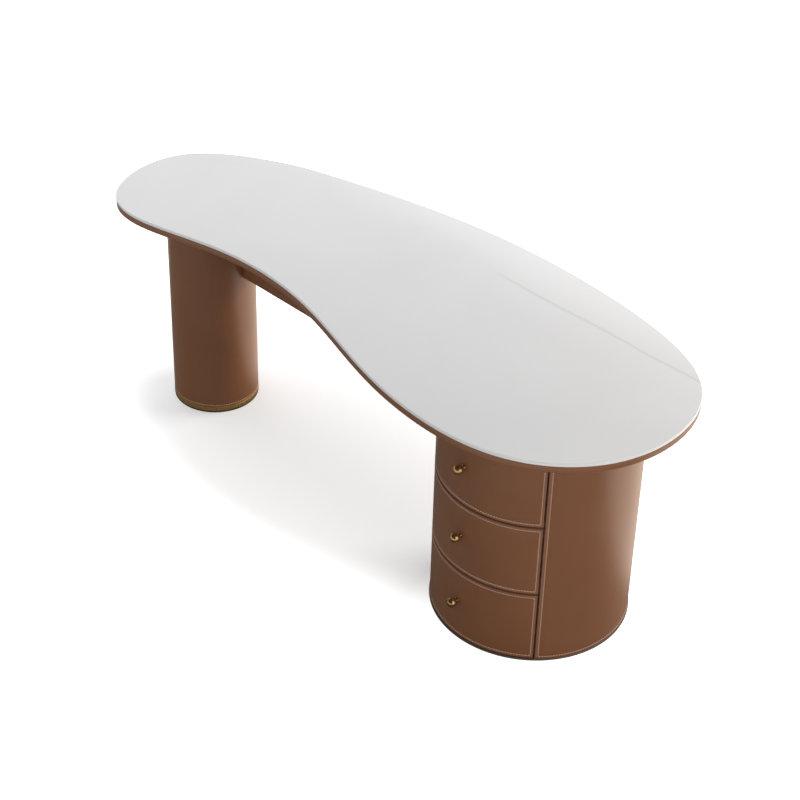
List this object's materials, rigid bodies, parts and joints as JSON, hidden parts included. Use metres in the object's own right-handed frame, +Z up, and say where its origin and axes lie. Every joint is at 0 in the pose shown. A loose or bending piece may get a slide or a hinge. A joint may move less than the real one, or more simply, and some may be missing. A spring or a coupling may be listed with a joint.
{
  "type": "executive desk",
  "caption": "Kidney-shaped executive desk: gloss stone top on a leather-wrapped board, round leather leg, straight beam and a round pedestal of bow-fronted drawers with brass knobs.",
  "frame": {"origin": "on the floor, under the middle of the top's length and depth", "axes": "+X along the desk from the leg to the drawer pedestal, -Y towards the person at the desk, +Z up"},
  "size_m": [2, 0.81, 0.75],
  "materials": {
    "stone": "white stone, polished to a high gloss",
    "leather": "brown, fine grain, low sheen, light brown stitching",
    "board": "bent plywood and fibreboard, sealed",
    "box_wood": "pale hardwood, clear lacquer",
    "brass": "polished",
    "steel": "zinc-plated, satin",
    "dark_metal": "dark bronze, satin",
    "rubber": "black, matt"
  },
  "bodies": {
    "desk": {"stone_top": "stone", "top_board": "board", "top_leather": "leather", "leg_glide": "rubber", "leg_base_plug": "board", "leg_top_plug": "board", "leg_brass_ring": "brass", "leg_drum": "board", "leg_leather": "leather", "beam_board": "board", "beam_leather": "leather", "pedestal_glide": "rubber", "pedestal_base_plate": "dark_metal", "pedestal_floor": "board", "pedestal_roof": "board", "pedestal_panel_board": "board", "pedestal_panel_leather": "leather", "front_rail_board": "board", "front_rail_leather": "leather", "partition_left": "board", "partition_right": "board", "drawer_1_slide_outer_left": "steel", "drawer_1_slide_outer_right": "steel", "drawer_2_slide_outer_left": "steel", "drawer_2_slide_outer_right": "steel", "drawer_3_slide_outer_left": "steel", "drawer_3_slide_outer_right": "steel"},
    "drawer_1": {"drawer_1_front_board": "board", "drawer_1_front_leather": "leather", "drawer_1_box_walls": "box_wood", "drawer_1_box_bottom": "box_wood", "drawer_1_knob": "brass", "drawer_1_knob_screw": "steel", "drawer_1_slide_inner_left": "steel", "drawer_1_slide_inner_right": "steel"},
    "drawer_1_slide_middles": {"drawer_1_slide_middle_left": "steel", "drawer_1_slide_middle_right": "steel"},
    "drawer_2": {"drawer_2_front_board": "board", "drawer_2_front_leather": "leather", "drawer_2_box_walls": "box_wood", "drawer_2_box_bottom": "box_wood", "drawer_2_knob": "brass", "drawer_2_knob_screw": "steel", "drawer_2_slide_inner_left": "steel", "drawer_2_slide_inner_right": "steel"},
    "drawer_2_slide_middles": {"drawer_2_slide_middle_left": "steel", "drawer_2_slide_middle_right": "steel"},
    "drawer_3": {"drawer_3_front_board": "board", "drawer_3_front_leather": "leather", "drawer_3_box_walls": "box_wood", "drawer_3_box_bottom": "box_wood", "drawer_3_knob": "brass", "drawer_3_knob_screw": "steel", "drawer_3_slide_inner_left": "steel", "drawer_3_slide_inner_right": "steel"},
    "drawer_3_slide_middles": {"drawer_3_slide_middle_left": "steel", "drawer_3_slide_middle_right": "steel"}
  },
  "joints": [
    {"name": "drawer_1_slide", "type": "slide", "parent": "desk", "child": "drawer_1", "axis": [-0.0576, -0.9983, 0], "range_m": [0, 0.28]},
    {"name": "drawer_1_middle_slide", "type": "slide", "parent": "desk", "child": "drawer_1_slide_middles", "axis": [-0.0576, -0.9983, 0], "range_m": [0, 0.14]},
    {"name": "drawer_2_slide", "type": "slide", "parent": "desk", "child": "drawer_2", "axis": [-0.0576, -0.9983, 0], "range_m": [0, 0.28]},
    {"name": "drawer_2_middle_slide", "type": "slide", "parent": "desk", "child": "drawer_2_slide_middles", "axis": [-0.0576, -0.9983, 0], "range_m": [0, 0.14]},
    {"name": "drawer_3_slide", "type": "slide", "parent": "desk", "child": "drawer_3", "axis": [-0.0576, -0.9983, 0], "range_m": [0, 0.28]},
    {"name": "drawer_3_middle_slide", "type": "slide", "parent": "desk", "child": "drawer_3_slide_middles", "axis": [-0.0576, -0.9983, 0], "range_m": [0, 0.14]}
  ],
  "couplings": [
    {"joint": "drawer_1_middle_slide", "follows": "drawer_1_slide", "ratio": 0.5},
    {"joint": "drawer_2_middle_slide", "follows": "drawer_2_slide", "ratio": 0.5},
    {"joint": "drawer_3_middle_slide", "follows": "drawer_3_slide", "ratio": 0.5}
  ]
}
